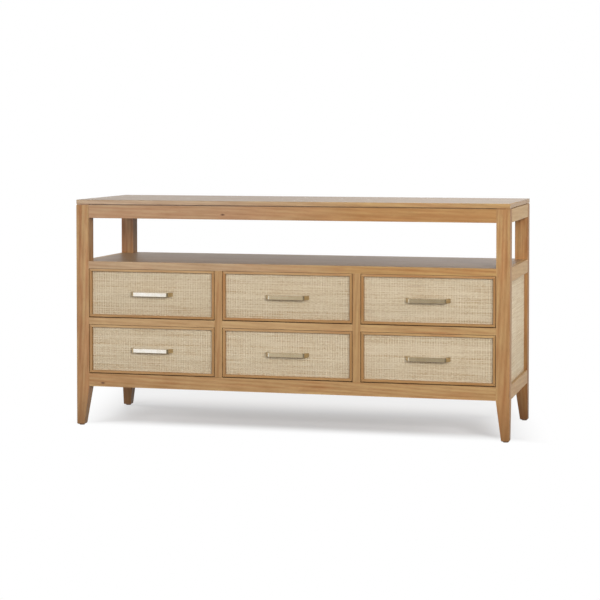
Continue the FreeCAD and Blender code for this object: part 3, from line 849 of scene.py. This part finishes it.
def make_pieces():
    """Every piece of the dresser."""
    draw = random.Random(BOARD_SEED)
    eased_board("top_board", OAK_TOP, draw, PLAIN_BOARD)
    eased_board("top_rail_front", OAK_RUSSET_SHEENED, draw, RED_BOARD)
    for node in POSTS:
        wood = OAK_SHADED_POST if node == SHADED_POST else OAK["Z"]
        eased_board(node, wood, draw, RED_BOARD)
    for node in STILES:
        eased_board(node, OAK["Z"], draw, PLAIN_BOARD)
    eased_board("shelf_board", OAK_SHELF, draw, PLAIN_BOARD)
    for node in BOARDS_LONG:
        eased_board(node, OAK["X"], draw, PLAIN_BOARD)
    eased_board("cross_rails", OAK_PALE_AND_TOP_LIT, draw, PLAIN_BOARD)
    eased_board("shelf_rail_front", OAK_PALE, draw, PLAIN_BOARD)
    for node in BOARDS_DEEP:
        eased_board(node, OAK_SIDE, draw, PLAIN_BOARD)
    for drawer in DRAWERS:
        front_frame(drawer, draw)
        weave_panel(f"{drawer}_cane", f"{drawer}_weave", f"{drawer}_drawer", 0, draw)
        drawer_box(drawer, draw)
        dress_node(f"{drawer}_bottom", PLYWOOD)
        dress_node(f"{drawer}_pull", BRASS)
    weave_panel("side_cane_left", "side_weave_left", "carcass", -QUARTER_TURN, draw)
    weave_panel("side_cane_right", "side_weave_right", "carcass", QUARTER_TURN, draw)
    for node in PLYWOOD_PANELS:
        dress_node(node, PLYWOOD)
    dress_node("runners", BOX_WOOD["Y"])
    dress_node("runner_screws", STEEL)
    dress_node("foot_glides", PLASTIC)


# Stage, lights and camera

def shadow_cover(tree):
    """The share of white over the floor's shadow: least under the dresser, all of it further out."""
    parts = split(tree, object_place(tree))
    slant = math_node(tree, "ADD", parts["X"], math_node(tree, "MULTIPLY", parts["Y"], SHADOW_SLANT))
    cover = soft_step(tree, math_node(tree, "ABSOLUTE", slant), *SHADOW_ENDS)
    ahead = soft_step(tree, parts["Y"], *SHADOW_FRONT)
    behind = soft_step(tree, parts["Y"], *SHADOW_BACK, BACK_WHITE)
    beyond = soft_step(tree, parts["Y"], *SHADOW_BEYOND)
    for other in (ahead, behind, beyond):
        cover = math_node(tree, "MAXIMUM", cover, other)
    least = remap(tree, parts["Y"], *LEAST_WHITE_REACH, LEAST_WHITE_FRONT, LEAST_WHITE_BACK)
    return remap(tree, cover, 0.0, 1.0, least, 1.0)


def white_floor():
    """White with a shadow where it is seen, a plain grey for the light it throws, and clear in mirrors."""
    material = bpy.data.materials.new("floor_white")
    tree = empty_nodes(material)
    path = put(tree, "ShaderNodeLightPath").outputs
    matt = put(tree, "ShaderNodeBsdfDiffuse", {"Color": FLOOR_GREY}).outputs[0]
    pale = put(tree, "ShaderNodeBsdfDiffuse", {"Color": FLOOR_PALE}).outputs[0]
    white = put(tree, "ShaderNodeEmission", {"Color": WHITE, "Strength": 1.0}).outputs[0]
    clear = put(tree, "ShaderNodeBsdfTransparent").outputs[0]
    shown = mix_shaders(tree, shadow_cover(tree), pale, white)
    lit = mix_shaders(tree, path["Is Camera Ray"], matt, shown)
    mixed = mix_shaders(tree, path["Is Glossy Ray"], lit, clear)
    put(tree, "ShaderNodeOutputMaterial", {"Surface": mixed})
    return material


def make_floor():
    """A plain white floor that keeps the shadow."""
    bm = bmesh.new()
    bmesh.ops.create_grid(bm, x_segments=1, y_segments=1, size=1)
    bmesh.ops.scale(bm, vec=(FLOOR_HALF, FLOOR_HALF, 1), verts=bm.verts)
    mesh = bpy.data.meshes.new("floor")
    bm.to_mesh(mesh)
    bm.free()
    mesh.materials.append(white_floor())
    floor = bpy.data.objects.new("floor", mesh)
    bpy.context.scene.collection.objects.link(floor)


def mirrored_room(tree):
    """How bright the room is in polish: dimmer to the front and to the right, and a little to the left."""
    parts = split(tree, put(tree, "ShaderNodeTexCoord").outputs["Generated"])
    front = remap(tree, parts["Y"], -0.85, -0.6, 1.0, 0.0)
    front_light = remap(tree, parts["X"], -0.17, -0.27, 0.46, 0.86)
    back_light = remap(tree, parts["X"], -0.16, -0.26, 1.0, 0.7)
    right_light = remap(tree, parts["X"], 0.0, 0.34, 1.0, 0.3)
    return math_node(tree, "MINIMUM", right_light, remap(tree, front, 0.0, 1.0, back_light, front_light))


def make_world():
    """A white room: plain light on the object, and white where it is seen or mirrored."""
    world = bpy.data.worlds.new("white_room")
    bpy.context.scene.world = world
    tree = empty_nodes(world)
    path = put(tree, "ShaderNodeLightPath").outputs
    shown = math_node(tree, "MAXIMUM", path["Is Camera Ray"], path["Is Glossy Ray"])
    shown = math_node(tree, "MAXIMUM", shown, path["Is Transmission Ray"])
    mirrored = remap(tree, path["Is Glossy Ray"], 0.0, 1.0, 1.0, mirrored_room(tree))
    lit = remap(tree, shown, 0.0, 1.0, ROOM_LIGHT, 1.0)
    strength = math_node(tree, "MULTIPLY", lit, mirrored)
    room = put(tree, "ShaderNodeBackground", {"Color": WHITE, "Strength": strength})
    put(tree, "ShaderNodeOutputWorld", {"Surface": room.outputs[0]})


def soft_light(name, place, aim, size, watts, colour=(1.0, 1.0, 1.0), mirrored=False):
    """A soft box pointed at a spot, which either lights the object or is only mirrored in its polish."""
    data = bpy.data.lights.new(name, "AREA")
    data.color = colour
    data.shape = "RECTANGLE"
    data.size, data.size_y = size
    data.energy = watts
    lamp = bpy.data.objects.new(name, data)
    lamp.location = place
    lamp.rotation_mode = "QUATERNION"
    lamp.rotation_quaternion = (Vector(aim) - Vector(place)).to_track_quat("-Z", "Y")
    lamp.visible_glossy = mirrored
    lamp.visible_diffuse = not mirrored
    bpy.context.scene.collection.objects.link(lamp)


def make_lights():
    """Soft boxes at the front, the ends and the back, and a card that the left pulls mirror."""
    middle = (0.0, 0.0, LAMP_AIM_HEIGHT)
    right = (cad_high.x, 0.0, LAMP_AIM_HEIGHT)
    left = (cad_low.x, 0.0, LAMP_AIM_HEIGHT)
    soft_light("key", place=(5.3, -9.1, 3.3), aim=middle, size=(4.0, 3.0), watts=780)
    soft_light("left_fill", place=(-4.5, -9.5, 3.4), aim=middle, size=(4.0, 4.0), watts=240)
    soft_light("right_fill", place=(4.2, -0.5, 1.4), aim=right, size=(1.4, 1.4), watts=46)
    soft_light("left_end", place=(-4.2, 0.8, 1.4), aim=left, size=(1.4, 1.4), watts=40)
    soft_light("back_fill", place=(-2.8, 7.5, 1.9), aim=(0.0, 0.25, 0.4), size=(3.0, 3.0), watts=250)
    soft_light("left_card", place=(-2.0, -3.6, 0.2), aim=(-0.48, -0.25, 0.36), size=(1.2, 1.6), watts=11.5,
               colour=COOL_CARD, mirrored=True)


def make_camera():
    """The photograph's viewpoint, in its square frame."""
    data = bpy.data.cameras.new("camera")
    data.sensor_width = SENSOR_WIDE
    data.lens = LENS
    data.shift_y = LENS_SHIFT
    camera = bpy.data.objects.new("camera", data)
    camera.location = CAMERA_PLACE
    camera.rotation_euler = (QUARTER_TURN - CAMERA_TILT, 0, CAMERA_TURN)
    bpy.context.scene.collection.objects.link(camera)
    bpy.context.scene.camera = camera


make_pieces()
make_floor()
make_world()
make_lights()
make_camera()
bpy.context.scene.view_settings.view_transform = "Standard"
